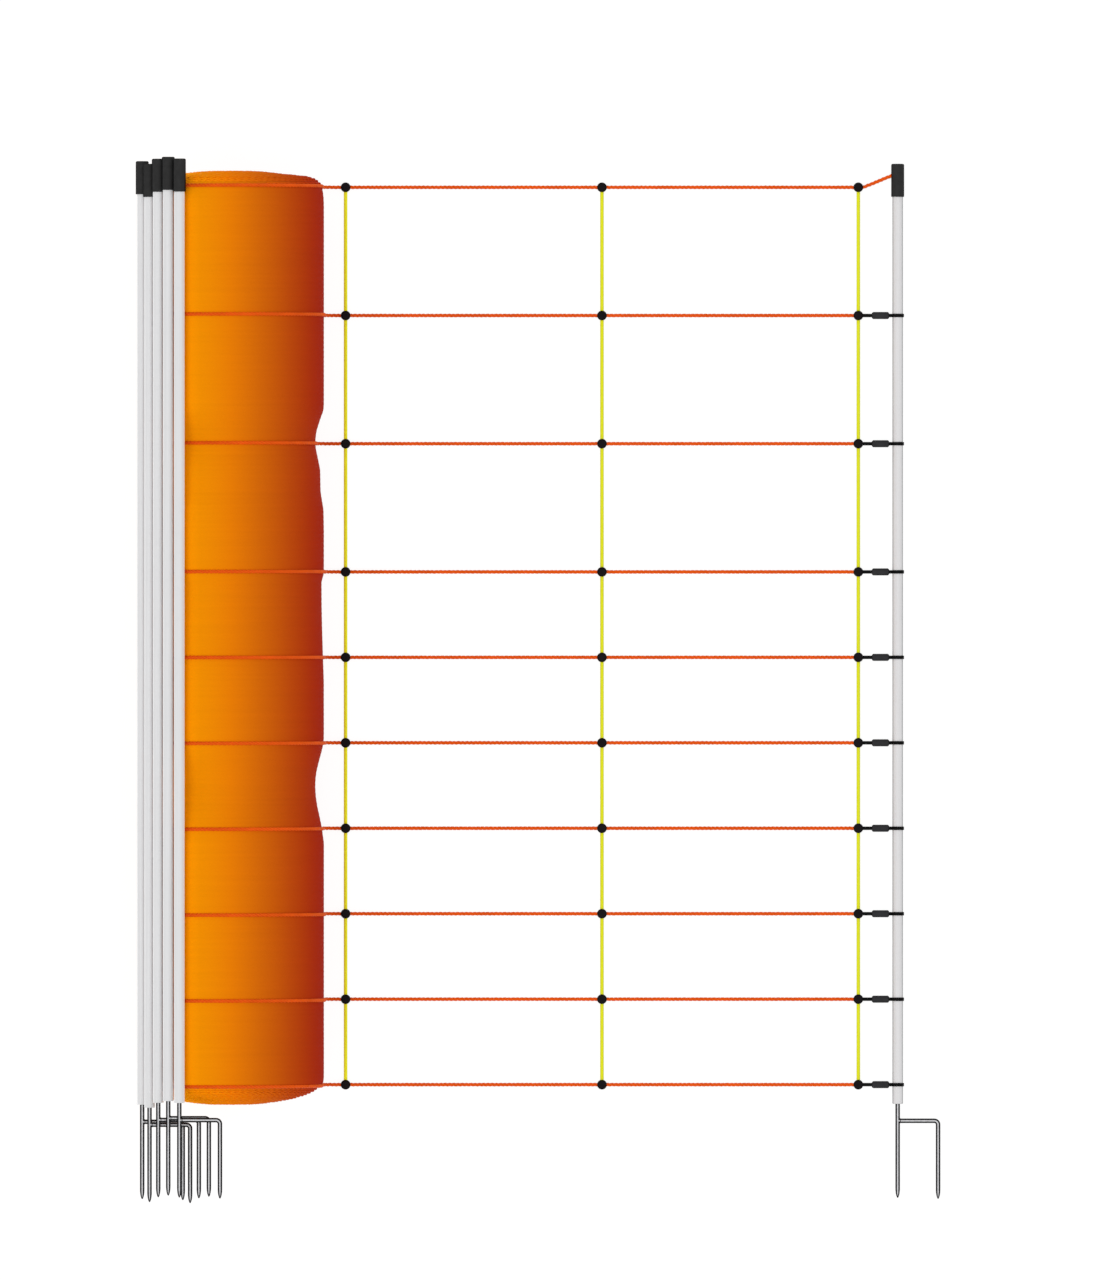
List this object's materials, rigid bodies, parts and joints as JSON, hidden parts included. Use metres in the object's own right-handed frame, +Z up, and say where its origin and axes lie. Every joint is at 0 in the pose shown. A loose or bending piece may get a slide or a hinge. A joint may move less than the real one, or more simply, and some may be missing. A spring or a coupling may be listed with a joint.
{
  "type": "electric sheep netting",
  "caption": "Electric sheep netting lying flat: rolled net with bundled posts, an open bay of strands, stays and knots, and an end post with clips and a step-in fork.",
  "frame": {"origin": "on the floor under the middle of the whole object's box", "axes": "+X along the open bay from the roll to the end post, +Y up the posts from the spikes to the caps, +Z up from the floor the netting lies on"},
  "size_m": [0.9392, 1.2188, 0.221],
  "materials": {
    "netting": "matt orange wound netting",
    "polywire": "matt twisted orange cord",
    "yellow_stay": "satin yellow plastic",
    "black_plastic": "satin moulded black",
    "post_shaft": "satin pale grey",
    "fork_steel": "galvanised"
  },
  "bodies": {
    "root": {"net_roll": "netting", "strand_01": "polywire", "strand_02": "polywire", "strand_03": "polywire", "strand_04": "polywire", "strand_05": "polywire", "strand_06": "polywire", "strand_07": "polywire", "strand_08": "polywire", "strand_09": "polywire", "strand_10": "polywire", "stay_1": "yellow_stay", "stay_2": "yellow_stay", "stay_3": "yellow_stay", "end_post_shaft": "post_shaft", "end_post_cap": "black_plastic", "end_post_spike": "fork_steel", "end_post_side_tine": "fork_steel", "bundle_post_1_shaft": "post_shaft", "bundle_post_1_cap": "black_plastic", "bundle_post_1_spike": "fork_steel", "bundle_post_1_side_tine": "fork_steel", "bundle_post_2_shaft": "post_shaft", "bundle_post_2_cap": "black_plastic", "bundle_post_2_spike": "fork_steel", "bundle_post_2_side_tine": "fork_steel", "bundle_post_3_shaft": "post_shaft", "bundle_post_3_cap": "black_plastic", "bundle_post_3_spike": "fork_steel", "bundle_post_3_side_tine": "fork_steel", "bundle_post_4_shaft": "post_shaft", "bundle_post_4_cap": "black_plastic", "bundle_post_4_spike": "fork_steel", "bundle_post_4_side_tine": "fork_steel", "bundle_post_5_shaft": "post_shaft", "bundle_post_5_cap": "black_plastic", "bundle_post_5_spike": "fork_steel", "bundle_post_5_side_tine": "fork_steel", "post_clip_02": "black_plastic", "post_clip_03": "black_plastic", "post_clip_04": "black_plastic", "post_clip_05": "black_plastic", "post_clip_06": "black_plastic", "post_clip_07": "black_plastic", "post_clip_08": "black_plastic", "post_clip_09": "black_plastic", "post_clip_10": "black_plastic"}
  },
  "joints": []
}
